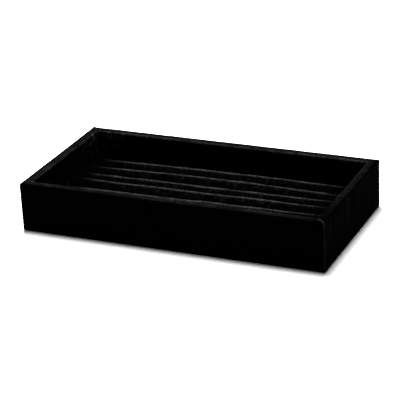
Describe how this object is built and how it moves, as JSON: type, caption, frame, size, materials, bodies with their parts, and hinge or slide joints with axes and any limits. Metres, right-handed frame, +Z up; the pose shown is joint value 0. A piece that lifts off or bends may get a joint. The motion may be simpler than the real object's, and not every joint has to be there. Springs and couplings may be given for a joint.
{
  "type": "ring display tray",
  "caption": "Shallow open display tray covered in black velvet, with a lift-out insert of padded rolls that holds finger rings upright in its slits.",
  "frame": {"origin": "centre of the underside, on the surface that the tray stands on", "axes": "+X along the long front side, +Y from the front to the back, +Z up"},
  "size_m": [0.35, 0.18, 0.055],
  "materials": {
    "wall_velvet": "velvet pile",
    "roll_velvet": "velvet pile",
    "fibreboard": "raw, matte",
    "steel_nail": "drawn wire",
    "foam": "open-cell, matte",
    "insert_card": "matte board",
    "lining_paper": "flocked paper",
    "liner_paper": "flocked paper"
  },
  "bodies": {
    "tray": {"base_panel": "fibreboard", "front_board": "fibreboard", "back_board": "fibreboard", "left_board": "fibreboard", "right_board": "fibreboard", "corner_brads": "steel_nail", "base_pins": "steel_nail", "front_velvet": "wall_velvet", "back_velvet": "wall_velvet", "left_velvet": "wall_velvet", "right_velvet": "wall_velvet", "bottom_lining": "lining_paper", "floor_liner": "liner_paper"},
    "insert": {"insert_card": "insert_card", "roll_foam_1": "foam", "roll_foam_2": "foam", "roll_foam_3": "foam", "roll_foam_4": "foam", "roll_foam_5": "foam", "roll_foam_6": "foam", "roll_foam_7": "foam", "roll_velvet_1": "roll_velvet", "roll_velvet_2": "roll_velvet", "roll_velvet_3": "roll_velvet", "roll_velvet_4": "roll_velvet", "roll_velvet_5": "roll_velvet", "roll_velvet_6": "roll_velvet", "roll_velvet_7": "roll_velvet"}
  },
  "joints": [
    {"name": "insert_lift", "type": "slide", "parent": "tray", "child": "insert", "axis": [0, 0, 1], "range_m": [0, 0.055]}
  ]
}
